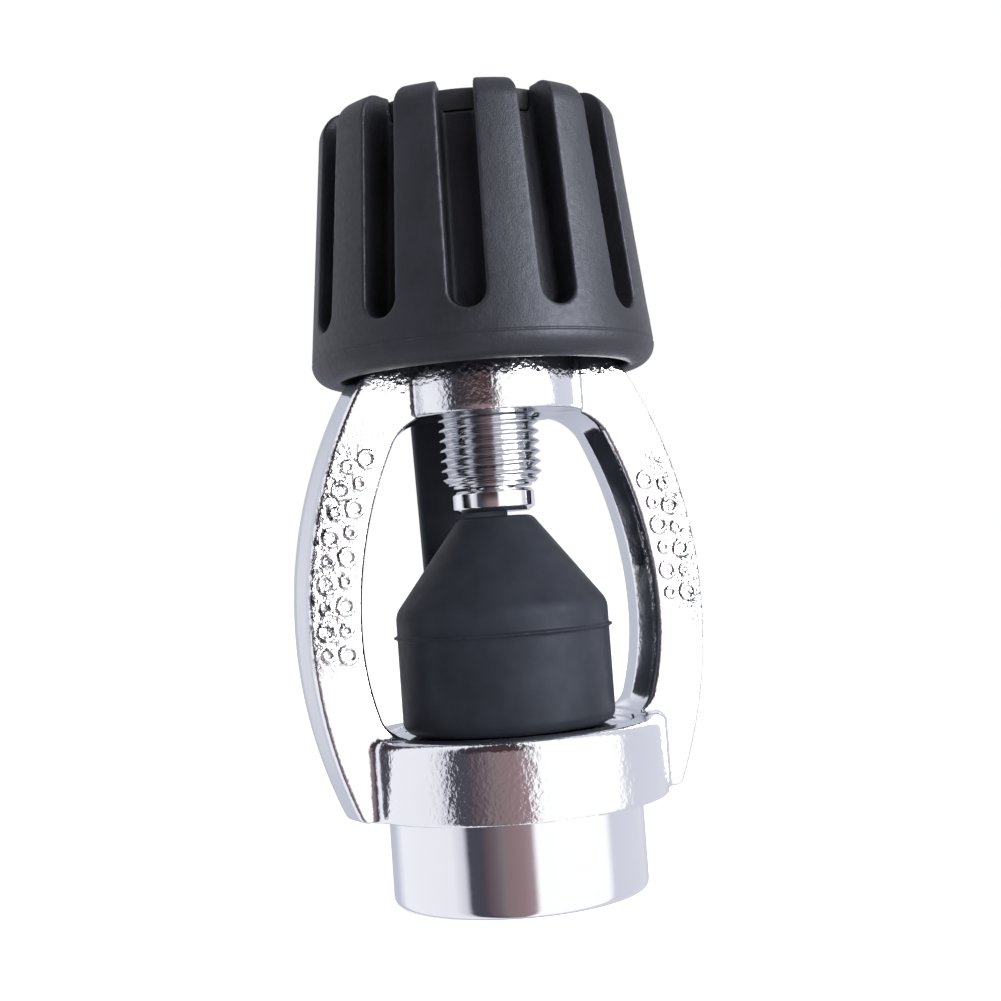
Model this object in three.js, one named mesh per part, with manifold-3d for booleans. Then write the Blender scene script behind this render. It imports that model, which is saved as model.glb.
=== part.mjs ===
// Yoke adapter for a scuba regulator: a clamp frame with a hand screw that holds a threaded
// regulator socket against a cylinder valve. Millimetres, +Z up.
// The origin is the centre of the socket's open end face, +Z runs along the clamp screw to the
// knob, and the two arms of the yoke spread along X.

import * as THREE from 'three';
import { mergeVertices } from 'three/addons/utils/BufferGeometryUtils.js';
import Module from 'manifold-3d';

const wasm = await Module();
wasm.setup();

// ---------------------------------------------------------------- driving dimensions

const GAP = 0.3;                 // clearance left between neighbouring pieces
const ROUND = 48;                // facets round a large turned piece
const SMALL_ROUND = 24;          // facets round a small turned piece

const SOCKET_RADIUS = 16;        // regulator socket, outside
const SOCKET_SHOULDER = 11.1;    // height where the socket meets the ring
const SPIGOT_RADIUS = 13.2;      // part of the socket that passes up through the ring
const SPIGOT_TOP = 17.5;
const THREAD_HOLE_RADIUS = 10.9; // pitch radius of the G5/8 thread
const THREAD_HOLE_DEPTH = 13.8;

const RING_RADIUS = 19.4;        // ring at the foot of the yoke
const RING_BOTTOM = SOCKET_SHOULDER + GAP;
const RING_TOP = 21;
const COUNTERBORE_RADIUS = 15.8;
const COUNTERBORE_FLOOR = 17.6;

const FLANGE_RADIUS = COUNTERBORE_RADIUS - GAP;
const FLANGE_BOTTOM = COUNTERBORE_FLOOR + GAP;
const FLANGE_TOP = 20.4;         // sealing face towards the cylinder valve
const NOZZLE_RADIUS = 8.6;
const NOZZLE_TOP = 22.9;
const SHANK_RADIUS = 5.2;        // threaded shank that joins the valve face to the socket
const GAS_BORE_RADIUS = 2.5;

const ORING_RADIUS = 8;          // centre line of the body O-ring
const ORING_SECTION = 0.8;

const ARM_DEPTH = 10.1;          // front face to back face of an arm
const PARTING_LAND = 0.3;        // flat left where the forging flash was trimmed
const PARTING_BULGE = 0.65;      // how far the middle stands out past the drafted faces
const OUTER_ARC = { x: -32.9, z: 34.6, r: 58.5 };
const UPPER_INNER_ARC = { x: -32.75, z: 33.8, r: 52 };
const LOWER_INNER_ARC = { x: -14.95, z: 33.8, r: 34.2 };
const WINDOW_TOP = 60.3;
const WINDOW_CORNER = 8;
const WINDOW_FOOT = 2.5;         // fillet between an arm and the ring
const SPOT_FACE_RADIUS = 16.6;
const YOKE_TOP = 67.5;
const SHOULDER_CORNER = 3;
const BOSS_RADIUS = 12.1;
const BOSS_BOTTOM = 59.8;
const BOSS_BORE = 6.7;

const THREAD_RADIUS = 6.35;      // half-inch clamp screw, major radius
const SCREW_NECK_RADIUS = 5;
const SCREW_BOTTOM = 50.9;
const THREAD_BOTTOM = 51.4;
const THREAD_TOP = 69.4;
const SQUARE_SIDE = 8.4;         // square drive inside the knob
const SQUARE_TOP = 86;
const PILOT_RADIUS = 2.9;        // pilot that carries the swivelling foot
const PILOT_BOTTOM = 49.1;
const CLIP_MIDDLE = 49.9;
const CLIP_GROOVE_DEPTH = 0.7;
const CLIP_GROOVE_HALF = 0.45;

const FOOT_RADIUS = 5.2;
const FOOT_BOTTOM = 47.8;
const FOOT_TOP = 50.6;

const BOLT_RADIUS = 2;
const BOLT_HEAD_RADIUS = 3.6;
const WASHER_BOTTOM = 86.9;
const WASHER_TOP = 87.9;

const HUB_RADIUS = 8.5;
const HUB_BOTTOM = 69.7;
const HUB_TOP = 86.6;

const KNOB_RADIUS = 21.7;
const KNOB_RIM = 65;
const KNOB_MOULD_LINE = 67.9;
const KNOB_TOP = 98.7;
const KNOB_RECESS_RADIUS = 18.2;
const KNOB_RECESS_TOP = 70.2;
const KNOB_SIDE = 21.55;         // radius where the tapered side starts
const KNOB_SIDE_FOOT = 69;
const KNOB_TAPER = 0.1;          // how fast the side closes in with height
const KNOB_DECK = 95.5;
const KNOB_DECK_RADIUS = 13.6;
const KNOB_WELL_RADIUS = 7;      // well for the fixing bolt's head
const SLOTS = 12;
const SLOT_WIDTH = 4.4;
const SLOT_BOTTOM = 73;          // centre of the slot's round lower end
const SLOT_FLOOR = 16.46;        // floor radius at that height
const SLOT_TAPER = 0.131;        // how fast the floor closes in with height
const SLOT_TURN = 8.4;           // degrees from -Y towards +X to the first slot

const CAP_DISC_TOP = 98.6;

const DUST_CAP_BOTTOM = 20.7;
const DUST_CAP_RADIUS = 13.4;
const DUST_CAP_PARTING = 32.8;
const DUST_CAP_SHOULDER = 35.8;  // where the cone begins
const DUST_CAP_TIP = 4.7;        // radius of the flat top
const DUST_CAP_TOP = 47.2;
const DUST_CAP_CAVITY = 8.9;
const STRAP_HALF_WIDTH = 5.9;
const STRAP_INNER = 12.6;
const STRAP_OUTER = 14.5;
const STRAP_FOOT = 36.8;
const STRAP_RING_BOTTOM = YOKE_TOP + GAP;
const STRAP_RING_TOP = 69.3;
const STRAP_RING_INNER = 6.8;
const STRAP_RING_OUTER = 10.5;

// ---------------------------------------------------------------- materials

function finish(color, roughness, metalness) {
  return new THREE.MeshStandardMaterial({ color, roughness, metalness });
}

const chrome = finish(0xe6e8ee, 0.12, 1);
const steel = finish(0xb8bcc4, 0.3, 1);
const brass = finish(0xb59a58, 0.35, 1);
const knobPlastic = finish(0x2f3035, 0.6, 0);
const capPlastic = finish(0x2a2b30, 0.55, 0);
const rubber = finish(0x2c3036, 0.7, 0);
const nitrile = finish(0x17181a, 0.6, 0);

// ---------------------------------------------------------------- geometry helpers

function signedVolume(geometry) {
  const p = geometry.getAttribute('position');
  const index = geometry.index.array;
  const [a, b, c] = [new THREE.Vector3(), new THREE.Vector3(), new THREE.Vector3()];
  let sum = 0;
  for (let i = 0; i < index.length; i += 3) {
    a.fromBufferAttribute(p, index[i]);
    b.fromBufferAttribute(p, index[i + 1]);
    c.fromBufferAttribute(p, index[i + 2]);
    sum += a.dot(b.cross(c));
  }
  return sum / 6;
}

// A closed geometry whose shared vertices are merged and whose faces point out.
function closed(geometry) {
  const bare = geometry.clone();
  bare.deleteAttribute('normal');
  bare.deleteAttribute('uv');
  const merged = mergeVertices(bare, 1e-4);
  const index = merged.index.array;
  const kept = [];
  for (let i = 0; i < index.length; i += 3) {
    const [a, b, c] = [index[i], index[i + 1], index[i + 2]];
    if (a !== b && b !== c && c !== a) kept.push(a, b, c);
  }
  merged.setIndex(kept);
  if (signedVolume(merged) < 0) {
    for (let i = 0; i < kept.length; i += 3) [kept[i], kept[i + 1]] = [kept[i + 1], kept[i]];
    merged.setIndex(kept);
  }
  return merged;
}

function toSolid(geometry) {
  const shape = closed(geometry);
  return new wasm.Manifold(new wasm.Mesh({
    numProp: 3,
    vertProperties: new Float32Array(shape.getAttribute('position').array),
    triVerts: new Uint32Array(shape.index.array),
  }));
}

function toGeometry(solid) {
  const mesh = solid.getMesh();
  const geometry = new THREE.BufferGeometry();
  geometry.setAttribute('position', new THREE.BufferAttribute(mesh.vertProperties, 3));
  geometry.setIndex(new THREE.BufferAttribute(mesh.triVerts, 1));
  geometry.computeVertexNormals();
  return geometry;
}

// Turns a closed list of [radius, height] points about Z.
function turned(profile, facets = ROUND) {
  const points = profile.map(([r, z]) => new THREE.Vector2(r, z));
  points.push(points[0].clone());
  return closed(new THREE.LatheGeometry(points, facets).rotateX(Math.PI / 2));
}

// Points [x, y] on an arc, from and to given in degrees, both ends included.
function arc(x, y, r, from, to, steps = 6) {
  const points = [];
  for (let i = 0; i <= steps; i++) {
    const a = THREE.MathUtils.degToRad(from + (to - from) * i / steps);
    points.push([x + r * Math.cos(a), y + r * Math.sin(a)]);
  }
  return points;
}

function rod(radius, bottom, top, facets = SMALL_ROUND) {
  return turned([[0, bottom], [radius, bottom], [radius, top], [0, top]], facets);
}

function tube(inner, outer, bottom, top, facets = SMALL_ROUND) {
  return turned([[inner, bottom], [outer, bottom], [outer, top], [inner, top]], facets);
}

function block(x, y, z) {
  const box = new THREE.BoxGeometry(x[1] - x[0], y[1] - y[0], z[1] - z[0]);
  return box.translate((x[0] + x[1]) / 2, (y[0] + y[1]) / 2, (z[0] + z[1]) / 2);
}

function shapeOf(points) {
  return new THREE.Shape(points.map(([x, y]) => new THREE.Vector2(x, y)));
}

function named(name, geometry, material) {
  const mesh = new THREE.Mesh(geometry, material);
  mesh.name = name;
  return mesh;
}

// ---------------------------------------------------------------- yoke

function archPoints(curve, fromZ, toZ, steps) {
  const points = [];
  for (let i = 0; i <= steps; i++) {
    const z = fromZ + (toZ - fromZ) * i / steps;
    points.push([curve.x + Math.sqrt(curve.r ** 2 - (z - curve.z) ** 2), z]);
  }
  return points;
}

function mirrored(right) {
  return right.concat(right.map(([x, z]) => [-x, z]).reverse());
}

function yokeOutline() {
  const beyond = 2;
  const side = archPoints(OUTER_ARC, RING_BOTTOM - beyond, YOKE_TOP - SHOULDER_CORNER, 16);
  const [cornerX] = side.at(-1);
  const corner = arc(cornerX - SHOULDER_CORNER, YOKE_TOP - SHOULDER_CORNER, SHOULDER_CORNER, 15, 75, 3);
  return mirrored([...side, ...corner, [cornerX - SHOULDER_CORNER, YOKE_TOP + beyond]]);
}

function windowOutline() {
  const waist = LOWER_INNER_ARC.z;
  const lower = archPoints(LOWER_INNER_ARC, RING_TOP + WINDOW_FOOT, waist, 5);
  const [footX] = lower[0];
  const foot = arc(footX - WINDOW_FOOT, RING_TOP + WINDOW_FOOT, WINDOW_FOOT, -90, 0, 4);
  const upper = archPoints(UPPER_INNER_ARC, waist, WINDOW_TOP - WINDOW_CORNER, 8);
  const [cornerX] = upper.at(-1);
  const corner = arc(cornerX - WINDOW_CORNER, WINDOW_TOP - WINDOW_CORNER, WINDOW_CORNER, 0, 90, 6);
  return mirrored([...foot, ...lower.slice(1), ...upper.slice(1), ...corner.slice(1)]);
}

// The drafted forging: both faces slope out to a thin parting land at mid-depth.
function yokeFrame() {
  const outline = shapeOf(yokeOutline());
  outline.holes.push(shapeOf(windowOutline()));
  const frame = new THREE.ExtrudeGeometry(outline, {
    depth: PARTING_LAND,
    bevelEnabled: true,
    bevelThickness: (ARM_DEPTH - PARTING_LAND) / 2,
    bevelSize: PARTING_BULGE,
    bevelSegments: 1,
    steps: 1,
  });
  return frame.translate(0, 0, -PARTING_LAND / 2).rotateX(Math.PI / 2);
}

function yokeRing() {
  const edge = 1;
  return turned([
    [0, RING_BOTTOM],
    [RING_RADIUS - 0.3, RING_BOTTOM],
    [RING_RADIUS, RING_BOTTOM + 0.3],
    ...arc(RING_RADIUS - edge, RING_TOP - edge, edge, 0, 90, 3),
    [0, RING_TOP],
  ]);
}

function yokeBoss() {
  const edge = 0.5;
  return turned([
    [0, BOSS_BOTTOM],
    ...arc(BOSS_RADIUS - edge, BOSS_BOTTOM + edge, edge, -90, 0, 3),
    [BOSS_RADIUS, YOKE_TOP],
    [0, YOKE_TOP],
  ]);
}

function yoke() {
  const reach = 40;
  const trimmed = toSolid(block([-reach, reach], [-reach, reach], [RING_BOTTOM, YOKE_TOP]));
  const spotFace = 3;
  const solid = toSolid(yokeFrame())
    .intersect(trimmed)
    .subtract(toSolid(rod(SPOT_FACE_RADIUS, RING_TOP, RING_TOP + spotFace, ROUND)))
    .subtract(toSolid(rod(BOSS_RADIUS, BOSS_BOTTOM - spotFace, BOSS_BOTTOM, ROUND)))
    .add(toSolid(yokeRing()))
    .add(toSolid(yokeBoss()))
    .subtract(toSolid(rod(BOSS_BORE, BOSS_BOTTOM - spotFace, YOKE_TOP + spotFace)))
    .subtract(toSolid(rod(SPIGOT_RADIUS + GAP, RING_BOTTOM - spotFace, RING_TOP, ROUND)))
    .subtract(toSolid(rod(COUNTERBORE_RADIUS, COUNTERBORE_FLOOR, RING_TOP + spotFace, ROUND)));
  return named('yoke', toGeometry(solid), chrome);
}

// ---------------------------------------------------------------- regulator socket

function dinSocket() {
  const chamfer = 0.8;
  const mouth = THREAD_HOLE_RADIUS + 1;
  const grooveHalf = ORING_SECTION + GAP;
  const grooveFloor = SPIGOT_TOP - 1.8;
  return named('din_socket', turned([
    [mouth, 0],
    [SOCKET_RADIUS - chamfer, 0],
    [SOCKET_RADIUS, chamfer],
    [SOCKET_RADIUS, SOCKET_SHOULDER],
    [SPIGOT_RADIUS, SOCKET_SHOULDER],
    [SPIGOT_RADIUS, SPIGOT_TOP],
    [ORING_RADIUS + grooveHalf, SPIGOT_TOP],
    [ORING_RADIUS + grooveHalf, grooveFloor],
    [ORING_RADIUS - grooveHalf, grooveFloor],
    [ORING_RADIUS - grooveHalf, SPIGOT_TOP],
    [SHANK_RADIUS + GAP, SPIGOT_TOP],
    [SHANK_RADIUS + GAP, THREAD_HOLE_DEPTH],
    [THREAD_HOLE_RADIUS, THREAD_HOLE_DEPTH],
    [THREAD_HOLE_RADIUS, 1],
  ]), chrome);
}

function valveFace() {
  const chamfer = 0.4;
  return named('valve_face', turned([
    [GAS_BORE_RADIUS, THREAD_HOLE_DEPTH + GAP],
    [SHANK_RADIUS, THREAD_HOLE_DEPTH + GAP],
    [SHANK_RADIUS, FLANGE_BOTTOM],
    [FLANGE_RADIUS, FLANGE_BOTTOM],
    [FLANGE_RADIUS, FLANGE_TOP - chamfer],
    [FLANGE_RADIUS - chamfer, FLANGE_TOP],
    [NOZZLE_RADIUS, FLANGE_TOP],
    [NOZZLE_RADIUS, NOZZLE_TOP - chamfer],
    [NOZZLE_RADIUS - chamfer, NOZZLE_TOP],
    [GAS_BORE_RADIUS, NOZZLE_TOP],
  ]), chrome);
}

function bodyOring() {
  const middle = FLANGE_BOTTOM - GAP - ORING_SECTION;
  const section = arc(ORING_RADIUS, middle, ORING_SECTION, 0, 324, 9);
  return named('body_oring', turned(section, SMALL_ROUND), nitrile);
}

// ---------------------------------------------------------------- clamp screw and its foot

function clampScrew() {
  const lead = 0.75;
  const stem = toSolid(turned([
    [0, PILOT_BOTTOM],
    [PILOT_RADIUS, PILOT_BOTTOM],
    [PILOT_RADIUS, CLIP_MIDDLE - CLIP_GROOVE_HALF],
    [PILOT_RADIUS - CLIP_GROOVE_DEPTH, CLIP_MIDDLE - CLIP_GROOVE_HALF],
    [PILOT_RADIUS - CLIP_GROOVE_DEPTH, CLIP_MIDDLE + CLIP_GROOVE_HALF],
    [PILOT_RADIUS, CLIP_MIDDLE + CLIP_GROOVE_HALF],
    [PILOT_RADIUS, SCREW_BOTTOM],
    [SCREW_NECK_RADIUS, SCREW_BOTTOM],
    [SCREW_NECK_RADIUS, THREAD_BOTTOM],
    [THREAD_RADIUS - lead, THREAD_BOTTOM],
    [THREAD_RADIUS, THREAD_BOTTOM + lead],
    [THREAD_RADIUS, THREAD_TOP],
    [0, THREAD_TOP],
  ], SMALL_ROUND));
  const half = SQUARE_SIDE / 2;
  const square = toSolid(block([-half, half], [-half, half], [THREAD_TOP - 1, SQUARE_TOP]));
  const tapped = toSolid(rod(BOLT_RADIUS + GAP, SQUARE_TOP - 12, SQUARE_TOP + 1, 24));
  return named('clamp_screw', toGeometry(stem.add(square).subtract(tapped)), chrome);
}

function screwFoot() {
  const chamfer = 0.4;
  const bore = PILOT_RADIUS + GAP;
  const groove = bore + CLIP_GROOVE_DEPTH;
  return named('screw_foot', turned([
    [0, FOOT_BOTTOM],
    [FOOT_RADIUS - chamfer, FOOT_BOTTOM],
    [FOOT_RADIUS, FOOT_BOTTOM + chamfer],
    [FOOT_RADIUS, FOOT_TOP - chamfer],
    [FOOT_RADIUS - chamfer, FOOT_TOP],
    [bore, FOOT_TOP],
    [bore, CLIP_MIDDLE + CLIP_GROOVE_HALF],
    [groove, CLIP_MIDDLE + CLIP_GROOVE_HALF],
    [groove, CLIP_MIDDLE - CLIP_GROOVE_HALF],
    [bore, CLIP_MIDDLE - CLIP_GROOVE_HALF],
    [bore, PILOT_BOTTOM - GAP],
    [0, PILOT_BOTTOM - GAP],
  ], SMALL_ROUND), chrome);
}

// A split wire ring that holds the foot on the pilot.
function footClip() {
  const half = CLIP_GROOVE_HALF - GAP;
  const inner = PILOT_RADIUS - CLIP_GROOVE_DEPTH + GAP;
  const outer = PILOT_RADIUS + CLIP_GROOVE_DEPTH;
  const ring = toSolid(tube(inner, outer, CLIP_MIDDLE - half, CLIP_MIDDLE + half));
  const split = toSolid(block([1, 2 * outer], [-0.6, 0.6], [CLIP_MIDDLE - 1, CLIP_MIDDLE + 1]));
  return named('foot_clip', toGeometry(ring.subtract(split)), steel);
}

// ---------------------------------------------------------------- knob

// Outer radius of the knob's tapered side at a height.
function knobSide(z) {
  return KNOB_SIDE - KNOB_TAPER * (z - KNOB_SIDE_FOOT);
}

function knobBody() {
  const corner = 3;
  const cornerZ = KNOB_TOP - corner;
  const side = knobSide(cornerZ);
  return turned([
    [KNOB_RECESS_RADIUS, KNOB_RIM + 0.4],
    [KNOB_RECESS_RADIUS + 0.4, KNOB_RIM],
    [KNOB_RADIUS - 2.5, KNOB_RIM],
    [KNOB_RADIUS - 1.4, KNOB_RIM + 0.8],
    [KNOB_RADIUS - 0.4, KNOB_MOULD_LINE - 1],
    [KNOB_RADIUS, KNOB_MOULD_LINE],
    [KNOB_SIDE, KNOB_SIDE_FOOT],
    ...arc(side - corner, cornerZ, corner, 0, 90, 3),
    [KNOB_DECK_RADIUS, KNOB_TOP],
    [KNOB_DECK_RADIUS, KNOB_DECK],
    [KNOB_WELL_RADIUS, KNOB_DECK],
    [KNOB_WELL_RADIUS, HUB_TOP + GAP],
    [HUB_RADIUS + GAP, HUB_TOP + GAP],
    [HUB_RADIUS + GAP, KNOB_RECESS_TOP],
    [KNOB_RECESS_RADIUS, KNOB_RECESS_TOP],
  ]);
}

// One finger slot: round at the bottom, open at the top, its floor parallel to the taper.
function slotCutter(turn) {
  const half = SLOT_WIDTH / 2;
  const height = KNOB_TOP - SLOT_BOTTOM + 4;
  const depth = 10;
  const outline = shapeOf([...arc(0, 0, half, 180, 360, 6), [half, height], [-half, height]]);
  return new THREE.ExtrudeGeometry(outline, { depth, bevelEnabled: false })
    .rotateX(Math.PI / 2)
    .rotateX(-Math.atan(SLOT_TAPER))
    .translate(0, -SLOT_FLOOR, SLOT_BOTTOM)
    .rotateZ(THREE.MathUtils.degToRad(turn));
}

function knobGrip() {
  let solid = toSolid(knobBody());
  for (let i = 0; i < SLOTS; i++) {
    solid = solid.subtract(toSolid(slotCutter(SLOT_TURN + i * 360 / SLOTS)));
  }
  return named('knob_grip', toGeometry(solid), knobPlastic);
}

function knobHub() {
  const half = SQUARE_SIDE / 2 + GAP;
  const flats = 12;
  const outside = toSolid(rod(HUB_RADIUS, HUB_BOTTOM, HUB_TOP, flats));
  const square = toSolid(block([-half, half], [-half, half], [HUB_BOTTOM - 1, HUB_TOP + 1]));
  return named('knob_hub', toGeometry(outside.subtract(square)), brass);
}

function boltWasher() {
  const outer = KNOB_WELL_RADIUS - 2 * GAP;
  return named('bolt_washer', tube(BOLT_RADIUS + GAP, outer, WASHER_BOTTOM, WASHER_TOP), steel);
}

// Hexagon-head screw that pulls the knob down on the square drive.
function knobBolt() {
  const head = WASHER_TOP + GAP;
  const shaft = toSolid(rod(BOLT_RADIUS, SQUARE_TOP - 10, head + 1, 24));
  const hexagon = toSolid(rod(BOLT_HEAD_RADIUS, head, head + 3, 6));
  return named('knob_bolt', toGeometry(shaft.add(hexagon)), steel);
}

function knobCap() {
  const chamfer = 0.6;
  const bottom = KNOB_DECK + GAP;
  const plug = KNOB_WELL_RADIUS - GAP;
  const plugBottom = bottom - 2.6;
  const wall = 1.4;
  return named('knob_cap', turned([
    [0, bottom],
    [plug - wall, bottom],
    [plug - wall, plugBottom],
    [plug, plugBottom],
    [plug, bottom],
    [KNOB_DECK_RADIUS - GAP, bottom],
    [KNOB_DECK_RADIUS - GAP, CAP_DISC_TOP - chamfer],
    [KNOB_DECK_RADIUS - GAP - chamfer, CAP_DISC_TOP],
    [0, CAP_DISC_TOP],
  ]), capPlastic);
}

// ---------------------------------------------------------------- dust cap and strap

function dustCapBody() {
  const round = 1.5;
  const flash = 0.5;
  const cavityTop = 32;
  return turned([
    [DUST_CAP_CAVITY, DUST_CAP_BOTTOM],
    ...arc(DUST_CAP_RADIUS - round, DUST_CAP_BOTTOM + round, round, -90, 0, 3),
    [DUST_CAP_RADIUS, DUST_CAP_PARTING - 0.3],
    [DUST_CAP_RADIUS + flash, DUST_CAP_PARTING],
    [DUST_CAP_RADIUS, DUST_CAP_PARTING + 0.3],
    [DUST_CAP_RADIUS - 0.1, DUST_CAP_SHOULDER - 0.4],
    [DUST_CAP_RADIUS - 0.6, DUST_CAP_SHOULDER + 0.7],
    [DUST_CAP_TIP + 0.4, DUST_CAP_TOP - 0.6],
    [DUST_CAP_TIP, DUST_CAP_TOP],
    [0, DUST_CAP_TOP],
    [0, cavityTop],
    [DUST_CAP_CAVITY, cavityTop],
  ]);
}

function dustCap() {
  const lugBottom = 31;
  const inside = 9.5;
  const width = [-STRAP_HALF_WIDTH, STRAP_HALF_WIDTH];
  const lug = block(width, [inside, STRAP_OUTER], [lugBottom, STRAP_FOOT - GAP]);
  return named('dust_cap', toGeometry(toSolid(dustCapBody()).add(toSolid(lug))), rubber);
}

// A flat band that climbs behind the boss and bends in over the yoke to its ring.
function strap() {
  const thick = STRAP_OUTER - STRAP_INNER;
  const side = [
    [STRAP_INNER, STRAP_FOOT],
    [STRAP_OUTER, STRAP_FOOT],
    [STRAP_OUTER, STRAP_RING_TOP - thick],
    ...arc(STRAP_OUTER - thick, STRAP_RING_TOP - thick, thick, 0, 90, 5).slice(1),
    [STRAP_RING_OUTER + GAP, STRAP_RING_TOP],
    [STRAP_RING_OUTER + GAP, STRAP_RING_BOTTOM],
    [STRAP_INNER, STRAP_RING_BOTTOM],
  ];
  const width = 2 * STRAP_HALF_WIDTH;
  const band = new THREE.ExtrudeGeometry(shapeOf(side), { depth: width, bevelEnabled: false })
    .translate(0, 0, -STRAP_HALF_WIDTH)
    .applyMatrix4(new THREE.Matrix4().set(0, 0, 1, 0, 1, 0, 0, 0, 0, 1, 0, 0, 0, 0, 0, 1));
  return named('strap', closed(band), rubber);
}

function strapRing() {
  const ring = tube(STRAP_RING_INNER, STRAP_RING_OUTER, STRAP_RING_BOTTOM, STRAP_RING_TOP);
  return named('strap_ring', ring, rubber);
}

// ---------------------------------------------------------------- the adapter

const adapter = new THREE.Group();

const frameGroup = new THREE.Group();
frameGroup.add(yoke(), dinSocket(), valveFace(), bodyOring());

const screwGroup = new THREE.Group();
screwGroup.add(clampScrew(), screwFoot(), footClip());

const knobGroup = new THREE.Group();
knobGroup.add(knobGrip(), knobHub(), boltWasher(), knobBolt(), knobCap());

const capGroup = new THREE.Group();
capGroup.add(dustCap(), strap(), strapRing());

adapter.add(frameGroup, screwGroup, knobGroup, capGroup);

export default adapter;
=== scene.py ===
"""The looks of a scuba yoke adapter: chromed clamp frame, ribbed hand knob, dust cap and strap.

Every piece is built in millimetres in the frame's own axes and stored in metres. Cast and moulded
pieces are distance fields with true fillets, meshed by a surface net. Turned pieces are revolved.
"""
import math

import bmesh
import bpy
import numpy as np
from mathutils import Matrix, Vector


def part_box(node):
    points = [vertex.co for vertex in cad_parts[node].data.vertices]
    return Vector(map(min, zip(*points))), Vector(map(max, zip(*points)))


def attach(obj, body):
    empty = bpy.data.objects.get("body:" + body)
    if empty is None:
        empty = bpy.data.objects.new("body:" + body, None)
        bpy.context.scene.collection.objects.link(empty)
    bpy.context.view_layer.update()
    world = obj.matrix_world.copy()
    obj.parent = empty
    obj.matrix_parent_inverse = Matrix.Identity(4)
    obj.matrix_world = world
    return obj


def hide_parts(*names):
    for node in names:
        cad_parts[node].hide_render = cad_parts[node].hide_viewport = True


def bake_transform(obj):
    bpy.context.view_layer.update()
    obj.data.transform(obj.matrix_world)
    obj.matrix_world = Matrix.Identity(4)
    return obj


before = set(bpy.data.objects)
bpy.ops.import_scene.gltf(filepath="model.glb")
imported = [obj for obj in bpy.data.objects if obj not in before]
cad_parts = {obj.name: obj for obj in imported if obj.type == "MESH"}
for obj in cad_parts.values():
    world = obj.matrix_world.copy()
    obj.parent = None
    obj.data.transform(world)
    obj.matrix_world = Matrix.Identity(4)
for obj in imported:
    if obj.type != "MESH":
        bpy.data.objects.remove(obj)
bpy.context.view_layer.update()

MM = 0.001


def size(node):
    """Lowest and highest corner of a CAD node, in millimetres."""
    low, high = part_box(node)
    return low / MM, high / MM


# ------------------------------------------------------------------ sizes, mostly from the frame

YOKE_LOW, YOKE_HIGH = size("yoke")
_, SOCKET_HIGH = size("din_socket")
FACE_LOW, FACE_HIGH = size("valve_face")
SCREW_LOW, SCREW_HIGH = size("clamp_screw")
FOOT_LOW, FOOT_HIGH = size("screw_foot")
KNOB_LOW, KNOB_HIGH = size("knob_grip")
DISC_LOW, DISC_HIGH = size("knob_cap")
CAP_LOW, CAP_HIGH = size("dust_cap")
STRAP_LOW, STRAP_HIGH = size("strap")
RING_LOW, RING_HIGH = size("strap_ring")

RING_RADIUS = YOKE_HIGH.y
RING_BOTTOM = YOKE_LOW.z
YOKE_TOP = YOKE_HIGH.z
RING_TOP = 21.0
RING_EDGE = 1.1
COUNTERBORE = FACE_HIGH.x + 0.2
COUNTERBORE_FLOOR = 17.7
SPIGOT = 13.2
SPIGOT_CLEARANCE = 0.2
ARM_HALF = 5.05
ARM_EDGE = 0.5
OUTER_BULGE = 0.65
INNER_BULGE = 0.8
BOSS_RADIUS = 12.1
BOSS_BOTTOM = 59.8
BOSS_BORE = 6.6
OUTER_ARC = (-32.9, 34.6, 58.5)
UPPER_ARC = (-32.75, 33.8, 52.0)
LOWER_ARC = (-14.95, 33.8, 34.2)
WINDOW_TOP = 60.3
WINDOW_CORNER = 3.6
WINDOW_FOOT = 2.5
SPOT_FACE = 16.5
ARM_TOP_CORNER = 3.0
ARM_FOOT_CORNER = 0.8

# Rows of raised marks: side, lowest and highest centre. Each row has two columns.
MARK_ROWS = ((-1, 31.8, 55.5), (1, 36.0, 51.5))
MARK_PITCH = 2.85
MARK_SIDE = 1.2
MARK_RADII = (0.6, 0.95)
MARK_TUBE = 0.27
MARK_FILLET = 0.12
MARK_REACH = 0.45
NO_MARK = 9.0

NOSE_RADIUS = 8.6
NOSE_BORE = 2.5
SHANK_RADIUS = 5.2
SHANK_HOLE = 5.6

THREAD_PITCH = 1.27
THREAD_CREST = SCREW_HIGH.x
THREAD_DEPTH = 0.76
THREAD_STEPS = 16
PILOT_RADIUS = 2.9
COLLAR_RADIUS = 5.0
DRIVE_RADIUS = 4.1
SOCKET_PITCH = 1.814
SOCKET_CREST = 10.3
SOCKET_DEPTH = 1.1

KNOB_SIDE = 21.55
KNOB_SIDE_FOOT = 69.0
KNOB_TAPER = 0.1
MOULD_LINE = 67.9
SLOT_COUNT = 12
SLOT_HALF = 2.2
SLOT_FOOT = 73.0
SLOT_FLOOR = 16.46
SLOT_TAPER = 0.131
SLOT_TURN = math.radians(8.4)
SLOT_LIP = 0.32
KNOB_SHOULDER = 3.0
KNOB_RIM = 2.6
RECESS_RADIUS = 18.2
RECESS_ROOF = 70.2
HUB_WELL = (8.8, 60, 86.9)
BOLT_WELL = (7.0, 80, 100)
DISC_LIP = 2.6

CAP_RADIUS = 13.4
CAP_PARTING = 32.8
CAP_SHOULDER = 35.8
CAP_TIP = 4.7
CAP_CAVITY = 8.9
CAP_CAVITY_ROOF = 32
PAD_FOOT = 31
PAD_FRONT = 9

STRAP_INNER = 12.6
STRAP_FLARE = 0.02
EYE_RADIUS = 6.8


# ------------------------------------------------------------------ distance fields

def round_and(a, b, r):
    """Intersection of two fields with its outer corner rounded to radius r."""
    corner = np.hypot(np.maximum(a + r, 0), np.maximum(b + r, 0))
    return np.minimum(np.maximum(a, b), -r) + corner


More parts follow.
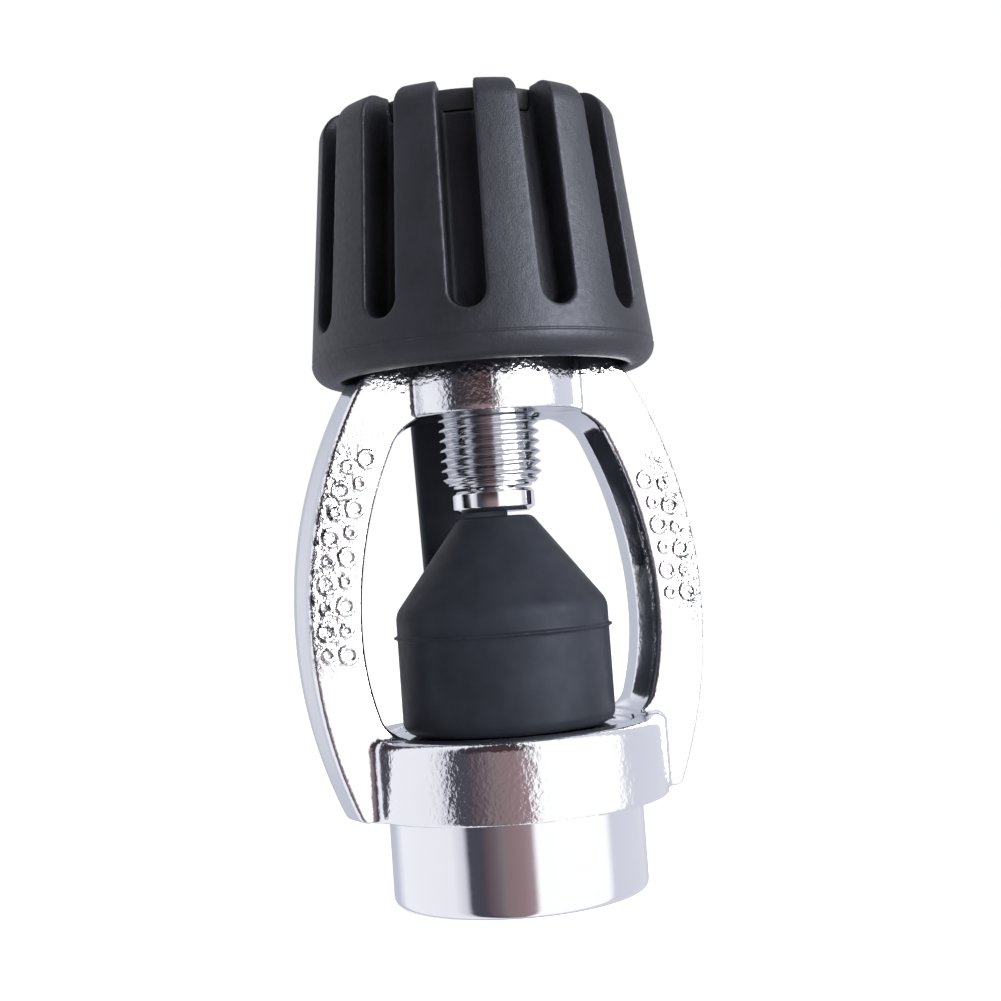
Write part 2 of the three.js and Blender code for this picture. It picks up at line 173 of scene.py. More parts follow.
def round_or(a, b, r):
    """Union of two fields with its inner corner filled to radius r."""
    corner = np.hypot(np.maximum(r - a, 0), np.maximum(r - b, 0))
    return np.maximum(np.minimum(a, b), r) - corner


def round_cut(a, b, r):
    """Field a with b taken away, its edge rounded to radius r."""
    return round_and(a, -b, r)


def slab(value, low, high):
    """All that lies between two values."""
    return np.maximum(low - value, value - high)


def disc(x, y, z, radius, low, high, edge):
    """An upright cylinder with rounded edges."""
    return round_and(np.hypot(x, y) - radius, slab(z, low, high), edge)


# ------------------------------------------------------------------ meshing

CORNERS = [(i, j, k) for i in (0, 1) for j in (0, 1) for k in (0, 1)]
EDGES = [(a, b) for a in CORNERS for b in CORNERS if a < b and sum(b) - sum(a) == 1
         and all(q >= p for p, q in zip(a, b))]


def net_vertices(field, cells):
    """One vertex in each crossed cell, at the mean of its edge crossings, in cell units."""
    total = np.zeros((len(cells), 3))
    hits = np.zeros((len(cells), 1))
    for a, b in EDGES:
        va = field[tuple((cells + a).T)]
        vb = field[tuple((cells + b).T)]
        crossed = (va < 0) != (vb < 0)
        t = np.where(crossed, va / np.where(crossed, va - vb, 1), 0)
        point = np.array(a) + t[:, None] * (np.array(b) - np.array(a))
        total += np.where(crossed[:, None], point, 0)
        hits += crossed[:, None]
    return cells + total / hits


def net_faces(inside, ids):
    """A quad round every grid edge that the surface crosses."""
    faces = []
    for axis in range(3):
        u, v = (axis + 1) % 3, (axis + 2) % 3
        ahead = np.take(inside, range(1, inside.shape[axis]), axis)
        behind = np.take(inside, range(inside.shape[axis] - 1), axis)
        for place, flip in ((behind & ~ahead, False), (ahead & ~behind, True)):
            at = np.argwhere(place)
            at = at[(at[:, u] > 0) & (at[:, v] > 0)]
            step_u, step_v = np.eye(3, dtype=int)[u], np.eye(3, dtype=int)[v]
            ring = [at - step_u - step_v, at - step_v, at, at - step_u]
            quad = np.stack([ids[tuple(cell.T)] for cell in ring], 1)
            faces.append(quad[:, ::-1] if flip else quad)
    return np.concatenate(faces)


def settle(points, field, rounds=4, probe=0.01):
    """Moves points on to the field's zero surface."""
    for _ in range(rounds):
        x, y, z = points.T
        value = field(x, y, z)
        slope = np.stack([
            field(x + probe, y, z) - field(x - probe, y, z),
            field(x, y + probe, z) - field(x, y - probe, z),
            field(x, y, z + probe) - field(x, y, z - probe),
        ], 1) / (2 * probe)
        steep = np.maximum((slope ** 2).sum(1), 0.25)
        move = slope * np.clip(value / steep, -0.15, 0.15)[:, None]
        points = points - move
    return points


def fielded(name, field, low, high, step):
    """A mesh object of the surface where field(x, y, z) is zero. Millimetres in, metres out."""
    margin = 2.5 * step
    axes = [np.arange(a - margin, b + margin + step, step) for a, b in zip(low, high)]
    values = field(axes[0][:, None, None], axes[1][None, :, None], axes[2][None, None, :])
    values = np.broadcast_to(values, [len(a) for a in axes]).astype(np.float32)
    inside = values < 0
    shape = [n - 1 for n in inside.shape]
    count = sum(inside[i:i + shape[0], j:j + shape[1], k:k + shape[2]].astype(np.int8)
                for i, j, k in CORNERS)
    crossed = (count > 0) & (count < 8)
    cells = np.argwhere(crossed)
    ids = np.full(shape, -1, np.int64)
    ids[tuple(cells.T)] = np.arange(len(cells))
    points = net_vertices(values, cells) * step + np.array([a[0] for a in axes])
    points = settle(points, field)
    return mesh_object(name, points * MM, net_faces(inside, ids))


def refined(piece, field, chosen, cuts=2):
    """Splits the edges whose middle is chosen(x, y, z), then settles the piece on its field."""
    mesh = piece.data
    points = np.empty(len(mesh.vertices) * 3)
    mesh.vertices.foreach_get("co", points)
    points = points.reshape(-1, 3) / MM
    ends = np.empty(len(mesh.edges) * 2, np.int64)
    mesh.edges.foreach_get("vertices", ends)
    middle = points[ends.reshape(-1, 2)].mean(1)
    picked = np.flatnonzero(chosen(*middle.T))
    net = bmesh.new()
    net.from_mesh(mesh)
    net.edges.ensure_lookup_table()
    edges = [net.edges[i] for i in picked]
    bmesh.ops.subdivide_edges(net, edges=edges, cuts=cuts, use_grid_fill=True)
    net.to_mesh(mesh)
    net.free()
    points = np.empty(len(mesh.vertices) * 3)
    mesh.vertices.foreach_get("co", points)
    points = settle(points.reshape(-1, 3) / MM, field)
    mesh.vertices.foreach_set("co", (points * MM).ravel())
    mesh.shade_smooth()
    return piece


def mesh_object(name, points, faces):
    """A new smooth-shaded object in the scene. Points are in metres."""
    mesh = bpy.data.meshes.new(name)
    mesh.from_pydata([tuple(p) for p in points], [], [tuple(int(i) for i in f) for f in faces])
    mesh.validate()
    mesh.shade_smooth()
    piece = bpy.data.objects.new(name, mesh)
    bpy.context.scene.collection.objects.link(piece)
    return piece


# ------------------------------------------------------------------ turned pieces

def filleted(corners, steps=5):
    """A profile of [radius, height, fillet] corners with each corner rounded to its fillet."""
    out = []
    closed = len(corners)
    for i, (r, z, fillet) in enumerate(corners):
        here = np.array([r, z], float)
        if fillet <= 0 or i in (0, closed - 1):
            out.append(here)
            continue
        back = np.array(corners[i - 1][:2], float) - here
        ahead = np.array(corners[(i + 1) % closed][:2], float) - here
        back_len, ahead_len = np.linalg.norm(back), np.linalg.norm(ahead)
        back, ahead = back / back_len, ahead / ahead_len
        half = math.acos(np.clip(back @ ahead, -1, 1)) / 2
        reach = min(fillet / math.tan(half), 0.48 * back_len, 0.48 * ahead_len)
        start, end = here + back * reach, here + ahead * reach
        for k in range(steps + 1):
            t = k / steps
            out.append((1 - t) ** 2 * start + 2 * t * (1 - t) * here + t ** 2 * end)
    return out


def even(points, longest):
    """The same profile with long straight runs split, so that shading stays even."""
    out = [points[0]]
    for a, b in zip(points, points[1:]):
        parts = max(1, math.ceil(np.linalg.norm(np.array(b) - a) / longest))
        out += [a + (np.array(b) - a) * k / parts for k in range(1, parts + 1)]
    return out


def revolved(name, profile, columns=144, closed=False):
    """Turns a profile about Z. Its entries are (radius, height), or one radius for each column."""
    angles = np.arange(columns) * 2 * math.pi / columns
    points, rows = [], []
    for r, z in profile:
        if np.ndim(r) == 0 and r == 0:
            rows.append([len(points)] * columns)
            points.append((0, 0, z))
            continue
        radius = np.broadcast_to(r, columns)
        rows.append(list(range(len(points), len(points) + columns)))
        points += [(q * math.cos(a), q * math.sin(a), z) for q, a in zip(radius, angles)]
    if closed:
        rows.append(rows[0])
    faces = []
    for lower, upper in zip(rows, rows[1:]):
        for c in range(columns):
            d = (c + 1) % columns
            face = [lower[c], lower[d], upper[d], upper[c]]
            face = [v for k, v in enumerate(face) if v != face[k - 1]]
            if len(face) > 2:
                faces.append(face)
    return mesh_object(name, np.array(points) * MM, faces)


def thread_rows(outer, depth, pitch, low, high, columns, inward=False):
    """Rows of a right-hand thread between two heights, with a lead-in at each end."""
    angles = np.arange(columns) / columns
    step = pitch / THREAD_STEPS
    rows = []
    # A flank is about one part rounded to two parts straight, and crest and root stay narrow.
    for z in np.arange(low, high + step / 2, step):
        phase = np.mod(z / pitch - angles, 1)
        flank = np.clip(np.abs(phase - 0.5) * 2 * 1.25 - 0.12, 0, 1)
        cut = depth * (0.5 - 0.5 * np.cos(flank * math.pi)) * 0.35 + depth * flank * 0.65
        lead = np.maximum(depth - min(z - low, high - z) * 0.9, 0)
        cut = np.maximum(cut, lead)
        rows.append((outer + cut if inward else outer - cut, z))
    return rows


# ------------------------------------------------------------------ yoke

def arch(x, z, curve):
    """Distance outside two mirrored arcs. The curve is (x, z, radius) of the right-hand one."""
    cx, cz, r = curve
    return np.hypot(np.abs(x) - cx, z - cz) - r


def yoke_window(x, z):
    """The window between the arms, boss and ring."""
    side = np.where(z > UPPER_ARC[1], arch(x, z, UPPER_ARC), arch(x, z, LOWER_ARC))
    return round_and(round_and(side, z - WINDOW_TOP, WINDOW_CORNER), RING_TOP - z, WINDOW_FOOT)


def arm_middle(height):
    """Half-way between an arm's outer and inner edge, and how far it leans there."""
    outer = OUTER_ARC[0] + math.sqrt(OUTER_ARC[2] ** 2 - (height - OUTER_ARC[1]) ** 2)
    inner = UPPER_ARC[0] + math.sqrt(UPPER_ARC[2] ** 2 - (height - UPPER_ARC[1]) ** 2)
    return (outer + inner) / 2, (height - OUTER_ARC[1]) / OUTER_ARC[2]


def raised_marks(x, y, z):
    """Plain raised rings along both front faces, a large and a small one in turn."""
    marks = np.full(np.broadcast(x, y, z).shape, NO_MARK)
    for side, low, high in MARK_ROWS:
        for row, height in enumerate(np.arange(low, high, MARK_PITCH)):
            middle, lean = arm_middle(height)
            for column in (-1, 1):
                radius = MARK_RADII[(row + (column > 0)) % 2]
                centre_x = side * middle + column * MARK_SIDE
                centre_z = height - side * column * MARK_SIDE * lean
                around = np.hypot(x - centre_x, z - centre_z) - radius
                marks = np.minimum(marks, np.hypot(around, y + ARM_HALF) - MARK_TUBE)
    return marks


def yoke_body(x, y, z):
    """The forging without its raised marks."""
    middle = np.clip(1 - np.abs(y) / ARM_HALF, 0, 1)
    outline = round_and(arch(x, z, OUTER_ARC), z - YOKE_TOP, ARM_TOP_CORNER)
    outline = round_and(outline, RING_BOTTOM - z, ARM_FOOT_CORNER) - OUTER_BULGE * middle
    frame_2d = np.maximum(outline, -yoke_window(x, z) - INNER_BULGE * middle)
    arms = round_and(frame_2d, np.abs(y) - ARM_HALF, ARM_EDGE)
    arms = round_and(arms, slab(z, RING_BOTTOM, YOKE_TOP), 0.4)
    spot = disc(x, y, z, SPOT_FACE, RING_TOP, RING_TOP + 3, 0.1)
    arms = round_cut(arms, spot, 0.3)
    radius = np.hypot(x, y)
    ring = round_and(radius - RING_RADIUS, z - RING_TOP, RING_EDGE)
    ring = round_and(ring, RING_BOTTOM - z, 0.35)
    body = round_or(arms, ring, 1.0)
    boss = round_and(radius - BOSS_RADIUS, slab(z, BOSS_BOTTOM, YOKE_TOP), 0.45)
    body = round_or(body, boss, 0.45)
    body = np.maximum(body, slab(z, RING_BOTTOM, YOKE_TOP))
    body = round_cut(body, np.maximum(radius - BOSS_BORE, 50 - z), 0.3)
    spigot_hole = np.maximum(radius - SPIGOT - SPIGOT_CLEARANCE, z - RING_TOP - 3)
    body = round_cut(body, spigot_hole, 0.2)
    recess = np.maximum(radius - COUNTERBORE, slab(z, COUNTERBORE_FLOOR, RING_TOP + 5))
    return round_cut(body, recess, 0.2)


def yoke_field(x, y, z):
    return round_or(yoke_body(x, y, z), raised_marks(x, y, z), MARK_FILLET)


def near_marks(x, y, z):
    return raised_marks(x, y, z) < MARK_REACH


def make_yoke():
    step = 0.27
    yoke = fielded("yoke_forging", yoke_body, YOKE_LOW, YOKE_HIGH, step)
    cuts = 2
    return refined(yoke, yoke_field, near_marks, cuts)


# ------------------------------------------------------------------ socket and valve face

def make_socket():
    """The socket with its inside thread; its spigot goes up through the ring."""
    columns = 192
    shoulder = RING_BOTTOM - 0.12
    hole_depth = FACE_LOW.z - 0.3
    root = SOCKET_CREST + SOCKET_DEPTH
    outside = filleted([
        (root + 0.6, 0.02, 0),
        (SOCKET_HIGH.x, 0, 0.9),
        (SOCKET_HIGH.x, shoulder, 0.25),
        (SPIGOT, shoulder, 0.2),
        (SPIGOT, SOCKET_HIGH.z, 0.3),
        (SHANK_HOLE, SOCKET_HIGH.z, 0.2),
        (SHANK_HOLE, hole_depth, 0.2),
        (root, hole_depth, 0.3),
        (root, hole_depth - 1.2, 0),
    ])
    outside = [tuple(p) for p in even(outside, 1.0)]
    thread_top = hole_depth - 1.3
    thread = thread_rows(SOCKET_CREST, SOCKET_DEPTH, SOCKET_PITCH, 0.9, thread_top, columns,
                         inward=True)
    return revolved("socket_body", outside + thread[::-1], columns, closed=True)


def make_valve_face():
    """The flange with the nose that seals against a cylinder valve."""
    bottom = COUNTERBORE_FLOOR + 0.2
    top = FACE_HIGH.z
    flange_top = RING_TOP - 0.6
    profile = filleted([
        (NOSE_BORE, FACE_LOW.z, 0),
        (SHANK_RADIUS, FACE_LOW.z, 0.2),
        (SHANK_RADIUS, bottom, 0.2),
        (FACE_HIGH.x, bottom, 0.2),
        (FACE_HIGH.x, flange_top, 0.5),
        (NOSE_RADIUS, flange_top, 0.3),
        (NOSE_RADIUS, top, 0.4),
        (NOSE_BORE, top, 0.4),
        (NOSE_BORE, FACE_LOW.z + 0.3, 0),
    ])
    return revolved("valve_sealing_face", [tuple(p) for p in even(profile, 1.0)], 160, closed=True)


# ------------------------------------------------------------------ clamp screw and foot

def make_screw():
    """Pilot for the foot, thread, and the drive that the knob sits on."""
    columns = 120
    thread_low = SCREW_LOW.z + 2.3
    thread_high = RING_LOW.z + 1.4
    root = THREAD_CREST - THREAD_DEPTH
    pilot = filleted([
        (0, SCREW_LOW.z, 0),
        (PILOT_RADIUS, SCREW_LOW.z, 0.15),
        (PILOT_RADIUS, SCREW_LOW.z + 1.8, 0.1),
        (COLLAR_RADIUS, SCREW_LOW.z + 1.8, 0.2),
        (COLLAR_RADIUS, thread_low - 0.1, 0.1),
        (root - 0.05, thread_low - 0.05, 0),
    ])
    thread = thread_rows(THREAD_CREST, THREAD_DEPTH, THREAD_PITCH, thread_low, thread_high,
                         columns)
    shank = filleted([
        (root - 0.05, thread_high + 0.05, 0),
        (DRIVE_RADIUS, thread_high + 0.2, 0.2),
        (DRIVE_RADIUS, SCREW_HIGH.z, 0.3),
        (0, SCREW_HIGH.z, 0),
    ])
    profile = [tuple(p) for p in pilot] + thread + [tuple(p) for p in shank]
    return revolved("screw_stem", profile, columns)


def make_foot():
    """The swivelling foot, chamfered where it presses on the valve."""
    low, high = FOOT_LOW.z, FOOT_HIGH.z
    radius = FOOT_HIGH.x
    profile = filleted([
        (0, low + 0.05, 0),
        (radius - 1.4, low, 0.3),
        (radius - 0.75, low, 0.2),
        (radius, low + 0.55, 0.25),
        (radius, high - 0.45, 0.2),
        (radius - 0.4, high, 0.15),
        (3.2, high, 0.2),
        (3.2, low + 1.0, 0.1),
        (0, low + 1.0, 0),
    ])
    return revolved("foot_pad", [tuple(p) for p in even(profile, 0.8)], 120)


# ------------------------------------------------------------------ knob

def knob_slots(x, y, z):
    """The twelve finger slots, folded into one by their even spacing."""
    pitch = 2 * math.pi / SLOT_COUNT
    angle = np.arctan2(x, -y) - SLOT_TURN
    angle = np.mod(angle + pitch / 2, pitch) - pitch / 2
    radius = np.hypot(x, y)
    across = radius * np.sin(angle)
    outward = radius * np.cos(angle)
    rise = z - SLOT_FOOT
    sides = np.where(rise < 0, np.hypot(across, rise), np.abs(across)) - SLOT_HALF
    floor = (SLOT_FLOOR - SLOT_TAPER * rise - outward) / math.hypot(1, SLOT_TAPER)
    return round_and(sides, floor, 0.7)


def knob_field(x, y, z):
    """The tapered grip, hollow below, with a deck for the disc and wells for hub and bolt."""
    radius = np.hypot(x, y)
    side = (radius - KNOB_SIDE + KNOB_TAPER * (z - KNOB_SIDE_FOOT)) / math.hypot(1, KNOB_TAPER)
    body = round_and(np.maximum(side, radius - KNOB_HIGH.x), z - KNOB_HIGH.z, KNOB_SHOULDER)
    body = np.maximum(body, round_and(radius - KNOB_HIGH.x, KNOB_LOW.z - z, KNOB_RIM))
    crease = np.hypot(radius - KNOB_HIGH.x - 0.02, z - MOULD_LINE) - 0.17
    body = round_cut(body, crease, 0.04)
    body = round_cut(body, np.maximum(radius - RECESS_RADIUS, z - RECESS_ROOF), 0.7)
    body = round_cut(body, knob_slots(x, y, z), SLOT_LIP)
    deck = np.maximum(radius - DISC_HIGH.x - 0.15, DISC_LOW.z + DISC_LIP - 0.2 - z)
    body = round_cut(body, deck, 0.35)
    wells = [np.maximum(radius - wide, slab(z, low, high))
             for wide, low, high in (HUB_WELL, BOLT_WELL)]
    return np.maximum(body, -np.minimum(*wells))


def near_mould_line(x, y, z):
    return (np.abs(z - MOULD_LINE) < 0.45) & (np.hypot(x, y) > KNOB_HIGH.x - 0.8)


def make_knob():
    step = 0.28
    knob = fielded("knob_moulding", knob_field, KNOB_LOW, KNOB_HIGH, step)
    return refined(knob, knob_field, near_mould_line, 2)


def make_knob_disc():
    """The disc that closes the top of the knob, with a low rim and a collar below."""
    top = DISC_HIGH.z
    edge = DISC_HIGH.x
    bottom = DISC_LOW.z + DISC_LIP
    profile = filleted([
        (0, bottom, 0),
        (5.3, bottom, 0.2),
        (5.3, DISC_LOW.z, 0.2),
        (6.7, DISC_LOW.z, 0.3),
        (6.7, bottom, 0.2),
        (edge, bottom, 0.2),
        (edge, top - 0.15, 0.6),
        (edge - 2.2, top, 0.4),
        (edge - 2.7, top - 0.35, 0.4),
        (0, top - 0.35, 0),
    ])
    return revolved("knob_top_disc", [tuple(p) for p in even(profile, 1.0)], 160)


# ------------------------------------------------------------------ dust cap, strap and its ring

def cap_field(x, y, z):
    """A hollow cone on a cylinder, with the mould's flash line and a pad for the strap."""
    radius = np.hypot(x, y)
    run, rise = CAP_RADIUS - CAP_TIP, CAP_HIGH.z - CAP_SHOULDER
    cone = ((radius - CAP_TIP) * rise + (z - CAP_HIGH.z) * run) / math.hypot(run, rise)
    body = round_and(radius - CAP_RADIUS, cone, 0.5)
    body = round_and(body, z - CAP_HIGH.z, 0.45)
    body = round_and(body, CAP_LOW.z - z, 1.5)
    flash = round_and(radius - CAP_RADIUS - 0.42, np.abs(z - CAP_PARTING) - 0.16, 0.14)
    body = round_or(body, flash, 0.25)
    pad = round_and(np.abs(x) - STRAP_HIGH.x, slab(z, PAD_FOOT, STRAP_LOW.z - 0.1), 0.5)
    pad = round_and(pad, slab(y, PAD_FRONT, CAP_HIGH.y), 0.5)
    body = round_or(body, pad, 1.2)
    cavity = round_and(radius - CAP_CAVITY, z - CAP_CAVITY_ROOF, 3.0)
    return round_cut(body, cavity, 0.4)


def make_cap():
    step = 0.24
    return fielded("cap_moulding", cap_field, CAP_LOW, CAP_HIGH, step)


def strap_field(x, y, z):
    """The flat strap: straight up the back, then a bend forward over the yoke."""
    thick = STRAP_HIGH.y - STRAP_INNER
    bend_z = STRAP_HIGH.z - thick
    upright = np.maximum(slab(y, STRAP_INNER, STRAP_HIGH.y), z - bend_z)
    bend = np.maximum(np.hypot(y - STRAP_INNER, z - bend_z) - thick, STRAP_INNER - 0.5 - y)
    across = np.maximum(slab(z, RING_LOW.z, STRAP_HIGH.z), slab(y, STRAP_LOW.y, STRAP_INNER + 0.3))
    side = np.minimum(np.minimum(upright, bend), across)
    side = np.maximum(side, STRAP_LOW.z - z)
    half_width = STRAP_HIGH.x + STRAP_FLARE * (z - STRAP_LOW.z)
    return round_and(side, np.abs(x) - half_width, 0.55)


def make_strap():
    """The strap, a little wider towards its top."""
    flare = Vector((STRAP_FLARE * (STRAP_HIGH.z - STRAP_LOW.z), 0, 0))
    return fielded("strap_band", strap_field, STRAP_LOW - flare, STRAP_HIGH + flare, 0.3)


def make_strap_ring():
    """The strap's eye, which lies on the yoke round the screw."""
    low, high = RING_LOW.z, RING_HIGH.z
    profile = filleted([
        (EYE_RADIUS, low + 0.3, 0),
        (EYE_RADIUS, low, 0.4),
        (RING_HIGH.x, low, 0.5),
        (RING_HIGH.x, high, 0.5),
        (EYE_RADIUS, high, 0.4),
        (EYE_RADIUS, low + 0.6, 0),
    ])
    return revolved("strap_eye", [tuple(p) for p in even(profile, 0.7)], 120, closed=True)


# ------------------------------------------------------------------ materials

class Tree:
    """A short way to write a node tree."""

    def __init__(self, tree):
        self.tree = tree

    def add(self, kind, inputs=None, **settings):
        node = self.tree.nodes.new(kind)
        for key, value in settings.items():
            setattr(node, key, value)
        for key, value in (inputs or {}).items():
            self.put(node.inputs[key], value)
        return node

    def put(self, socket, value):
        if isinstance(value, bpy.types.NodeSocket):
            self.tree.links.new(value, socket)
        else:
            socket.default_value = value

    def maths(self, kind, *values):
        return self.add("ShaderNodeMath", dict(enumerate(values)), operation=kind).outputs[0]

    def blended(self, fac, first, second):
        node = self.add("ShaderNodeMix", data_type="RGBA")
        for place_at, value in ((0, fac), (6, first), (7, second)):
            self.put(node.inputs[place_at], value)
        return node.outputs[2]

    def spread(self, fac, low, high, start=0.3, end=0.7):
        """Maps a value between start and end to low and high."""
        inputs = {"Value": fac, "From Min": start, "From Max": end, "To Min": low, "To Max": high}
        return self.add("ShaderNodeMapRange", inputs).outputs["Result"]


class Nodes(Tree):
    """The node tree of one material."""

    def __init__(self, name):
        self.material = bpy.data.materials.new(name)
        self.material.use_nodes = True
        super().__init__(self.material.node_tree)
        self.shader = self.tree.nodes["Principled BSDF"]
        self.where = self.tree.nodes.new("ShaderNodeTexCoord").outputs["Object"]

    def set(self, **values):
        for key, value in values.items():
            self.put(self.shader.inputs[key.replace("_", " ")], value)

    def noise(self, scale, detail=3.0, roughness=0.5, stretch=None):
        vector = self.where
        if stretch is not None:
            mapping = self.add("ShaderNodeMapping", {"Vector": vector, "Scale": stretch})
            vector = mapping.outputs["Vector"]
        inputs = {"Vector": vector, "Scale": scale, "Detail": detail, "Roughness": roughness}
        return self.add("ShaderNodeTexNoise", inputs).outputs["Fac"]

    def tint(self, fac, first, second):
        return self.blended(fac, (*first, 1), (*second, 1))

    def bump(self, *layers):
        """Stacks bumps of (height, strength, distance in metres)."""
        normal = None
        for height, strength, distance in layers:
            inputs = {"Height": height, "Strength": strength, "Distance": distance}
            node = self.add("ShaderNodeBump", inputs)
            if normal is not None:
                self.put(node.inputs["Normal"], normal)
            normal = node.outputs["Normal"]
        self.put(self.shader.inputs["Normal"], normal)


CHROME = ((0.80, 0.81, 0.85), (0.86, 0.87, 0.90))
GRIME = (0.05, 0.05, 0.06, 1)
COARSEST_SKIN = 5.5


def marked_stretch(n):
    """0 on most of the forging, and 1 towards the outer edge of the marked stretch of an arm."""
    across, _, height = n.add("ShaderNodeSeparateXYZ", {0: n.where}).outputs
    x, z, r = (value * MM for value in OUTER_ARC)
    from_x = n.maths("SUBTRACT", n.maths("ABSOLUTE", across), x)
    from_z = n.maths("SUBTRACT", height, z)
    squares = [n.maths("POWER", value, 2.0) for value in (from_x, from_z)]
    reach = n.maths("SQRT", n.maths("ADD", *squares))
    edge = n.spread(reach, 0, 1, r - 6.0 * MM, r - 2.0 * MM)
    bottom, top = (value * MM for value in MARK_ROWS[0][1:])
    low = n.spread(height, 0, 1, bottom - 3 * MM, bottom + 2 * MM)
    high = n.spread(height, 1, 0, top - 2 * MM, top + 5 * MM)
    return n.maths("MULTIPLY", edge, n.maths("MULTIPLY", low, high))


def cast_chrome():
    """Chrome over a forging: faint orange peel from the blasted brass below, polished inside.

    Round the raised marks the skin is coarser, with grime in its pits.
    """
    n = Nodes("cast_chrome")
    n.set(Metallic=1.0)
    marked = marked_stretch(n)
    plating = n.tint(n.noise(90), *CHROME)
    depth = n.add("ShaderNodeSeparateXYZ", {0: n.where}).outputs[1]
    face = ARM_HALF * MM
    front = n.maths("MULTIPLY", marked, n.spread(depth, 1, 0, 0.15 * MM - face, 0.55 * MM - face))
    pits = n.maths("MULTIPLY", front, n.spread(n.noise(1300, 4, 0.6), 0, 0.92, 0.48, 0.56))
    n.set(Base_Color=n.blended(pits, plating, GRIME))
    n.set(Roughness=n.spread(n.noise(260, 4), 0.05, 0.13))
    outward = n.spread(n.maths("ABSOLUTE", depth), 0.15, 1, face - 1.45 * MM, face - 0.05 * MM)
    coarseness = n.maths("MULTIPLY", outward, n.spread(front, 1, COARSEST_SKIN, 0, 1))
    fine = n.maths("MULTIPLY", n.noise(1900, 2), coarseness)
    broad = n.maths("MULTIPLY", n.noise(420, 2), outward)
    n.bump((fine, 0.6, 0.00008), (broad, 0.3, 0.0002))
    return n.material


def turned_chrome():
    """Chrome over a turned surface: nearly a mirror, with fine rings left by the tool."""
    n = Nodes("turned_chrome")
    n.set(Metallic=1.0)
    n.set(Base_Color=n.tint(n.noise(60), *CHROME))
    n.set(Roughness=n.spread(n.noise(400, 3, 0.5, (0.2, 0.2, 4.0)), 0.04, 0.11))
    n.bump((n.noise(2600, 2, 0.5, (0.02, 0.02, 1.0)), 0.25, 0.00001),
           (n.noise(180, 2), 0.2, 0.00006))
    return n.material


def thread_chrome():
    """Duller, darker plating than on the forging, all over the thread."""
    n = Nodes("thread_chrome")
    n.set(Metallic=1.0)
    n.set(Base_Color=n.tint(n.noise(300), (0.50, 0.505, 0.54), (0.70, 0.71, 0.75)))
    n.set(Roughness=n.spread(n.noise(900, 3), 0.08, 0.16))
    n.bump((n.noise(2400, 2), 0.2, 0.00001))
    return n.material


def knob_plastic():
    """Black moulded plastic with a fine spark-eroded grain, a little paler where hands rub."""
    n = Nodes("knob_plastic")
    grain = n.noise(5200, 2, 0.6)
    rub = n.noise(140, 4)
    n.set(Base_Color=n.tint(n.spread(rub, 0, 1), (0.010, 0.0105, 0.0135), (0.017, 0.0175, 0.022)))
    n.set(Roughness=n.spread(n.noise(1500, 3), 0.38, 0.50))
    n.set(Specular_IOR_Level=0.42, Specular_Tint=(0.80, 0.84, 1.0, 1))
    n.bump((grain, 0.55, 0.00006), (n.noise(1100, 3), 0.4, 0.0001), (n.noise(300, 2), 0.2, 0.0002))
    return n.material


def disc_plastic():
    """The same plastic with a finer, flatter grain."""
    n = Nodes("disc_plastic")
    n.set(Base_Color=n.tint(n.noise(120), (0.022, 0.023, 0.027), (0.032, 0.033, 0.038)))
    n.set(Roughness=n.spread(n.noise(800, 3), 0.50, 0.62))
    n.set(Specular_IOR_Level=0.3)
    n.bump((n.noise(4200, 2), 0.4, 0.00002))
    return n.material


def cap_rubber():
    """Moulded rubber: satin, blue-black, with faint bloom and the mould's soft waviness."""
    n = Nodes("cap_rubber")
    bloom = n.noise(160, 5, 0.6)
    n.set(Base_Color=n.tint(n.spread(bloom, 0, 1), (0.013, 0.0145, 0.0195), (0.021, 0.024, 0.032)))
    n.set(Roughness=n.spread(n.noise(500, 4), 0.42, 0.54))
    n.set(Specular_IOR_Level=0.16, Specular_Tint=(0.76, 0.84, 1.0, 1))
    n.set(IOR=1.42)
    n.bump((n.noise(3600, 3), 0.35, 0.00002), (n.noise(240, 2), 0.15, 0.0001))
    return n.material


def nitrile():
    """Plain black seal rubber."""
    n = Nodes("nitrile")
    n.set(Base_Color=n.tint(n.noise(500), (0.010, 0.010, 0.011), (0.020, 0.020, 0.021)))
    n.set(Roughness=n.spread(n.noise(1200), 0.3, 0.45))
    n.bump((n.noise(2600), 0.3, 0.00002))
    return n.material


def plain_steel():
    """Turned stainless steel, with tool marks round it."""
    n = Nodes("plain_steel")
    n.set(Metallic=1.0)
    n.set(Base_Color=n.tint(n.noise(300), (0.50, 0.50, 0.51), (0.62, 0.62, 0.63)))
    n.set(Roughness=n.spread(n.noise(1400, 4, 0.6, (1, 1, 0.1)), 0.22, 0.38))
    n.bump((n.noise(3200, 2, 0.5, (1, 1, 0.1)), 0.3, 0.00002))
    return n.material


def machined_brass():
    """Drawn brass, with marks along it."""
    n = Nodes("machined_brass")
    n.set(Metallic=1.0)
    n.set(Base_Color=n.tint(n.noise(260), (0.58, 0.42, 0.18), (0.68, 0.52, 0.26)))
    n.set(Roughness=n.spread(n.noise(1100, 4, 0.5, (0.1, 0.1, 1)), 0.2, 0.34))
    n.bump((n.noise(2800, 2, 0.5, (0.1, 0.1, 1)), 0.3, 0.00002))
    return n.material


def studio_floor():
    """A white sweep lit from below as well, so that only a trace of shadow shows on it."""
    n = Nodes("studio_floor")
    n.set(Base_Color=n.tint(n.noise(8), (0.90, 0.90, 0.905), (0.92, 0.92, 0.925)))
    n.set(Roughness=n.spread(n.noise(40), 0.7, 0.8))
    n.set(Specular_IOR_Level=0.2)
    n.set(Emission_Color=(1.0, 1.0, 1.0, 1.0), Emission_Strength=0.55)
    return n.material


# ------------------------------------------------------------------ putting the pieces in place

